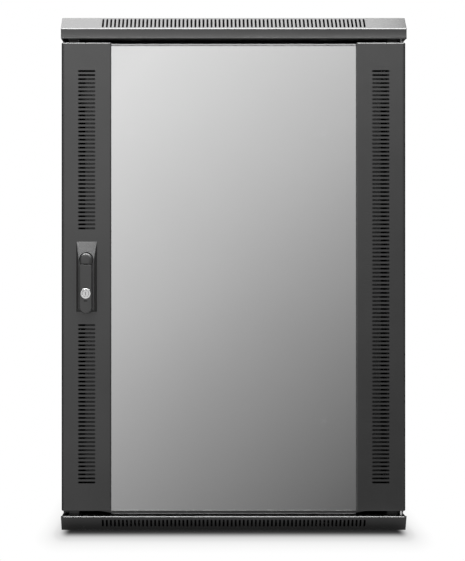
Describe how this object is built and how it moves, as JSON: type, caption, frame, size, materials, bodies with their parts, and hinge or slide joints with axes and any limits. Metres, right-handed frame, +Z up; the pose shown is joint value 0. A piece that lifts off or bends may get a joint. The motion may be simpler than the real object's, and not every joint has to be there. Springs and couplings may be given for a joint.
{
  "type": "rack cabinet",
  "caption": "Upright wall-mounting cabinet for rack equipment, with a glazed and vented front door, swing handle, lift-off side panels and adjustable square-hole rails.",
  "frame": {"origin": "middle of the underside of the floor, between the front of the covers and the wall face", "axes": "+X to the viewer's right, +Y to the wall behind, +Z up; the door faces -Y"},
  "size_m": [0.6, 0.47, 0.895],
  "materials": {
    "paint": "fine-textured satin black powder coat",
    "zinc": "bright zinc plate",
    "glass": "grey tempered glass",
    "handle": "satin black moulded handle",
    "lock": "bright nickel plate",
    "nylon": "black nylon",
    "rubber": "black rubber"
  },
  "bodies": {
    "cabinet": {"bottom_cover": "paint", "top_cover": "paint", "bottom_cable_cover": "paint", "top_cable_cover": "paint", "rear_cable_cover": "paint", "cable_cover_screws": "zinc", "rear_panel": "paint", "rear_panel_screws": "zinc", "depth_rail_screws": "zinc", "lower_hinge_pin": "zinc", "upper_hinge_bush": "nylon", "door_buffers": "rubber", "earth_stud": "zinc", "front_post_left": "paint", "front_post_right": "paint", "rear_post_left": "paint", "rear_post_right": "paint", "depth_rail_lower_left": "paint", "depth_rail_lower_right": "paint", "depth_rail_upper_left": "paint", "depth_rail_upper_right": "paint"},
    "door": {"door_stile_left": "paint", "door_stile_right": "paint", "door_top_rail": "paint", "door_bottom_rail": "paint", "door_glass": "glass", "glass_tape": "rubber", "glass_clips": "zinc", "glass_clip_screws": "zinc", "handle_housing": "handle", "handle_back_plate": "zinc", "handle_screws": "zinc", "lower_hinge_bush": "nylon", "hinge_bolt_bracket": "zinc", "hinge_spring": "zinc"},
    "handle_pivot": {"handle_spindle": "handle", "latch_cam": "zinc", "latch_cam_screw": "zinc"},
    "lever": {"handle_lever": "handle", "lever_pin": "zinc"},
    "lock": {"lock_cylinder": "lock"},
    "hinge_bolt": {"upper_hinge_bolt": "zinc"},
    "side_left": {"side_panel_left": "paint", "side_lock_body_left": "zinc"},
    "side_lock_left": {"side_lock_plug_left": "zinc", "side_lock_cam_left": "zinc"},
    "rail_front_left": {"rack_rail_front_left": "paint", "clamp_bolts_front_left": "zinc"},
    "rail_rear_left": {"rack_rail_rear_left": "paint", "clamp_bolts_rear_left": "zinc"},
    "side_right": {"side_panel_right": "paint", "side_lock_body_right": "zinc"},
    "side_lock_right": {"side_lock_plug_right": "zinc", "side_lock_cam_right": "zinc"},
    "rail_front_right": {"rack_rail_front_right": "paint", "clamp_bolts_front_right": "zinc"},
    "rail_rear_right": {"rack_rail_rear_right": "paint", "clamp_bolts_rear_right": "zinc"}
  },
  "joints": [
    {"name": "door_swing", "type": "hinge", "parent": "cabinet", "child": "door", "pos_m": [0.292, -0.214, 0.4415], "axis": [0, 0, 1], "range_deg": [0, 180]},
    {"name": "handle_turn", "type": "hinge", "parent": "door", "child": "handle_pivot", "pos_m": [-0.25525, -0.224, 0.4715], "axis": [0, -1, 0], "range_deg": [0, 90]},
    {"name": "handle_lift", "type": "hinge", "parent": "handle_pivot", "child": "lever", "pos_m": [-0.25525, -0.241, 0.4595], "axis": [-1, 0, 0], "range_deg": [0, 50]},
    {"name": "key_turn", "type": "hinge", "parent": "lever", "child": "lock", "pos_m": [-0.25525, -0.24, 0.4125], "axis": [0, -1, 0], "range_deg": [0, 90]},
    {"name": "hinge_bolt_draw", "type": "slide", "parent": "door", "child": "hinge_bolt", "axis": [0, 0, -1], "range_m": [0, 0.012], "stiffness_N_per_m": 500, "springref_m": -0.01, "deforming": ["hinge_spring"]},
    {"name": "side_panel_left_off", "type": "slide", "parent": "cabinet", "child": "side_left", "axis": [-1, 0, 0], "range_m": [0, 0.15]},
    {"name": "side_lock_left_turn", "type": "hinge", "parent": "side_left", "child": "side_lock_left", "pos_m": [-0.292, 0.01, 0.835], "axis": [1, 0, 0], "range_deg": [0, 90]},
    {"name": "rail_front_left_depth", "type": "slide", "parent": "cabinet", "child": "rail_front_left", "axis": [0, 1, 0], "range_m": [-0.004, 0.1]},
    {"name": "rail_rear_left_depth", "type": "slide", "parent": "cabinet", "child": "rail_rear_left", "axis": [0, 1, 0], "range_m": [-0.06, 0.06]},
    {"name": "side_panel_right_off", "type": "slide", "parent": "cabinet", "child": "side_right", "axis": [1, 0, 0], "range_m": [0, 0.15]},
    {"name": "side_lock_right_turn", "type": "hinge", "parent": "side_right", "child": "side_lock_right", "pos_m": [0.292, 0.01, 0.835], "axis": [1, 0, 0], "range_deg": [0, 90]},
    {"name": "rail_front_right_depth", "type": "slide", "parent": "cabinet", "child": "rail_front_right", "axis": [0, 1, 0], "range_m": [-0.004, 0.1]},
    {"name": "rail_rear_right_depth", "type": "slide", "parent": "cabinet", "child": "rail_rear_right", "axis": [0, 1, 0], "range_m": [-0.06, 0.06]}
  ]
}
